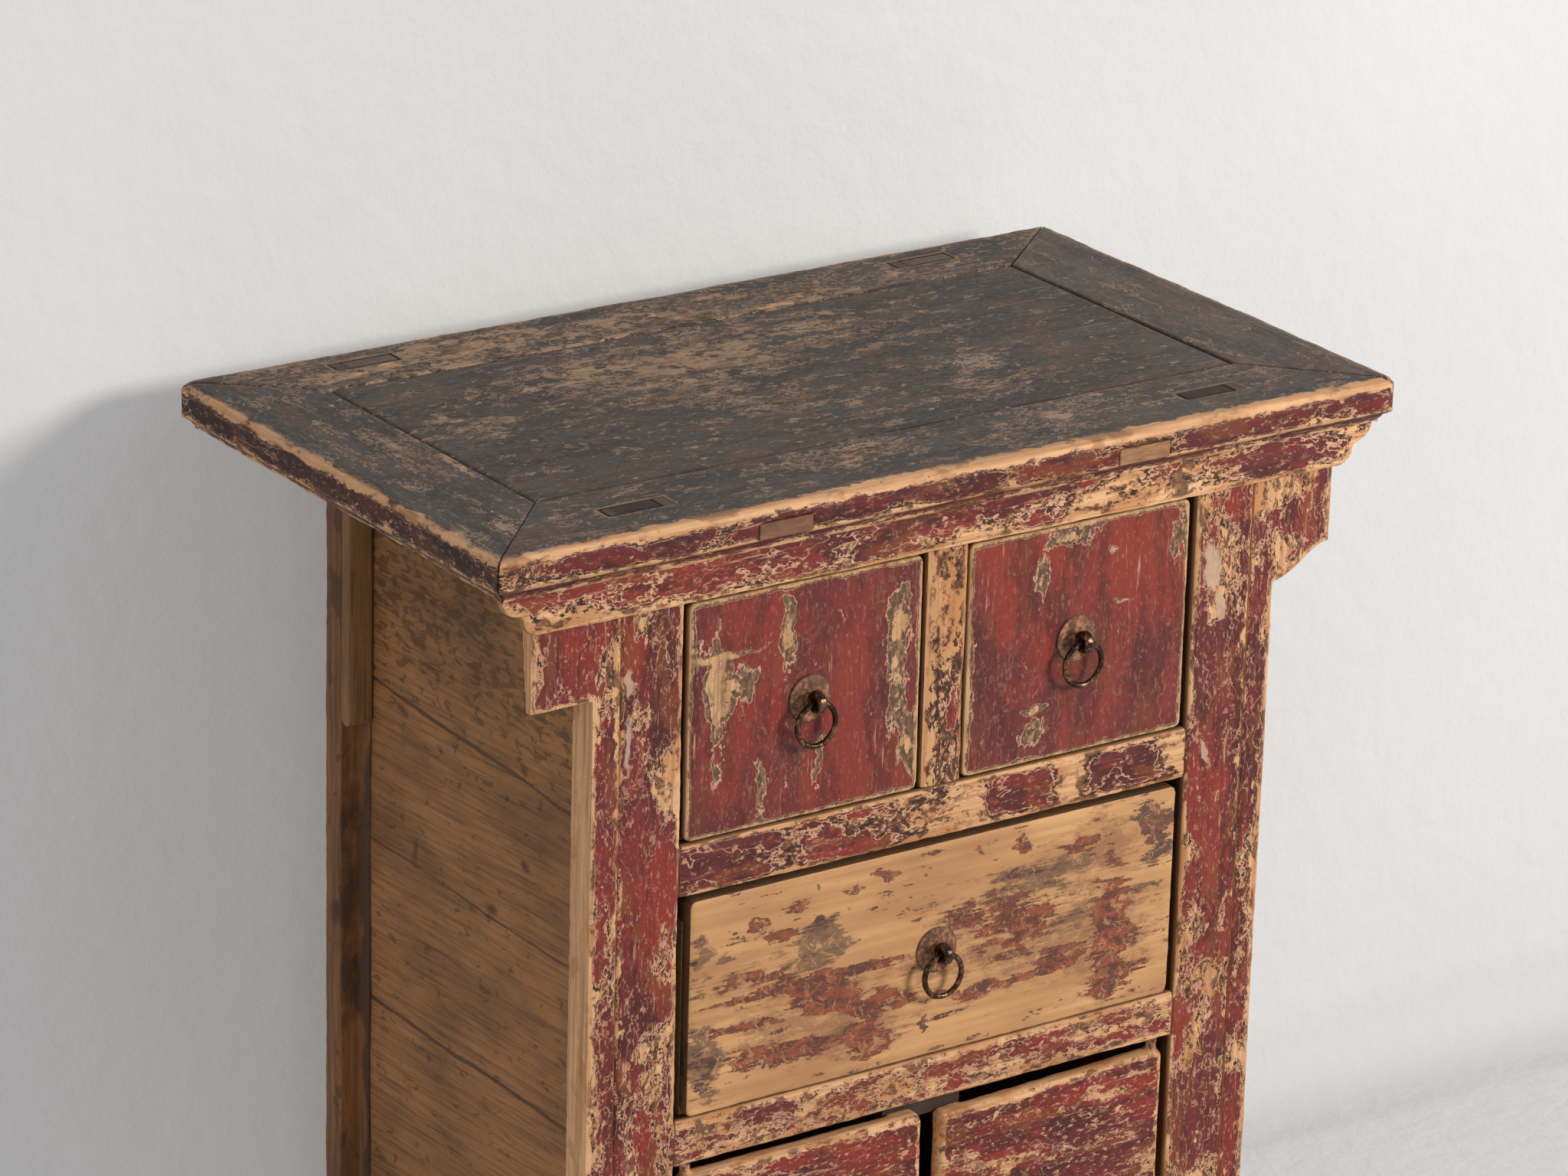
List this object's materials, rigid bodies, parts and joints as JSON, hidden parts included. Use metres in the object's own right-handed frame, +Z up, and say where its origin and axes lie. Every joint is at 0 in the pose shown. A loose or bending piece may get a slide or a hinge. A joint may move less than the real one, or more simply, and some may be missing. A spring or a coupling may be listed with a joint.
{
  "type": "painted cabinet chest of drawers",
  "caption": "Old painted wooden cabinet chest: small drawers over a wide drawer over a two-door cupboard, with an overhanging mitred top, side wings and iron ring pulls.",
  "frame": {"origin": "on the floor, under the middle of the top", "axes": "+X to the chest's right as seen from the front, +Y to its back, +Z up"},
  "size_m": [0.784, 0.444, 0.86],
  "materials": {
    "top_lacquer": "worn satin",
    "red_lacquer": "worn satin",
    "stripped_wood": "matte",
    "bare_wood": "matte",
    "pale_wood": "matte",
    "inner_wood": "matte",
    "iron": "satin"
  },
  "bodies": {
    "carcase": {"top_front_member": "top_lacquer", "top_rear_member": "top_lacquer", "top_left_member": "top_lacquer", "top_right_member": "top_lacquer", "top_panel": "top_lacquer", "top_battens": "bare_wood", "tenon_wedges": "pale_wood", "frieze": "red_lacquer", "post_front_left": "red_lacquer", "post_front_right": "red_lacquer", "post_rear_left": "bare_wood", "post_rear_right": "bare_wood", "wing_left": "red_lacquer", "wing_right": "red_lacquer", "rear_battens": "bare_wood", "rail_top": "pale_wood", "rail_1": "red_lacquer", "rail_2": "red_lacquer", "rail_bottom": "red_lacquer", "muntin": "red_lacquer", "apron": "red_lacquer", "side_rail_top_left": "bare_wood", "side_rail_top_right": "bare_wood", "side_rail_bottom_left": "bare_wood", "side_rail_bottom_right": "bare_wood", "side_planks_left": "bare_wood", "side_planks_right": "bare_wood", "back_rail_top": "bare_wood", "back_rail_middle": "inner_wood", "back_rail_bottom": "bare_wood", "back_boards": "bare_wood", "cupboard_floor": "inner_wood", "runners_upper": "inner_wood", "runner_middle": "inner_wood", "runners_lower": "inner_wood", "door_stop": "inner_wood"},
    "drawer_left": {"drawer_left_front": "red_lacquer", "drawer_left_sides": "inner_wood", "drawer_left_back": "inner_wood", "drawer_left_bottom": "inner_wood", "pull_drawer_left": "iron"},
    "ring_body_drawer_left": {"ring_drawer_left": "iron"},
    "drawer_right": {"drawer_right_front": "red_lacquer", "drawer_right_sides": "inner_wood", "drawer_right_back": "inner_wood", "drawer_right_bottom": "inner_wood", "pull_drawer_right": "iron"},
    "ring_body_drawer_right": {"ring_drawer_right": "iron"},
    "drawer_middle": {"drawer_middle_front": "stripped_wood", "drawer_middle_sides": "inner_wood", "drawer_middle_back": "inner_wood", "drawer_middle_bottom": "inner_wood", "pull_drawer_middle": "iron"},
    "ring_body_drawer_middle": {"ring_drawer_middle": "iron"},
    "door_left": {"door_left": "red_lacquer", "pull_door_left": "iron"},
    "ring_body_door_left": {"ring_door_left": "iron"},
    "door_right": {"door_right": "red_lacquer", "pull_door_right": "iron"},
    "ring_body_door_right": {"ring_door_right": "iron"}
  },
  "joints": [
    {"name": "drawer_left_slide", "type": "slide", "parent": "carcase", "child": "drawer_left", "axis": [0, -1, 0], "range_m": [0, 0.3]},
    {"name": "drawer_right_slide", "type": "slide", "parent": "carcase", "child": "drawer_right", "axis": [0, -1, 0], "range_m": [0, 0.3]},
    {"name": "drawer_middle_slide", "type": "slide", "parent": "carcase", "child": "drawer_middle", "axis": [0, -1, 0], "range_m": [0, 0.3]},
    {"name": "door_left_hinge", "type": "hinge", "parent": "carcase", "child": "door_left", "pos_m": [-0.2105, -0.1925, 0.233], "axis": [0, 0, -1], "range_deg": [0, 115]},
    {"name": "door_right_hinge", "type": "hinge", "parent": "carcase", "child": "door_right", "pos_m": [0.2105, -0.1925, 0.233], "axis": [0, 0, 1], "range_deg": [0, 115]},
    {"name": "ring_drawer_left_hinge", "type": "hinge", "parent": "drawer_left", "child": "ring_body_drawer_left", "pos_m": [-0.1175, -0.2097, 0.69945], "axis": [-1, 0, 0], "range_deg": [-10, 150]},
    {"name": "ring_drawer_right_hinge", "type": "hinge", "parent": "drawer_right", "child": "ring_body_drawer_right", "pos_m": [0.1175, -0.2097, 0.69945], "axis": [-1, 0, 0], "range_deg": [-10, 150]},
    {"name": "ring_drawer_middle_hinge", "type": "hinge", "parent": "drawer_middle", "child": "ring_body_drawer_middle", "pos_m": [0, -0.2117, 0.48045], "axis": [-1, 0, 0], "range_deg": [-10, 150]},
    {"name": "ring_door_left_hinge", "type": "hinge", "parent": "door_left", "child": "ring_body_door_left", "pos_m": [-0.038, -0.2097, 0.2322], "axis": [-1, 0, 0], "range_deg": [-10, 150]},
    {"name": "ring_door_right_hinge", "type": "hinge", "parent": "door_right", "child": "ring_body_door_right", "pos_m": [0.046, -0.2097, 0.2322], "axis": [-1, 0, 0], "range_deg": [-10, 150]}
  ]
}
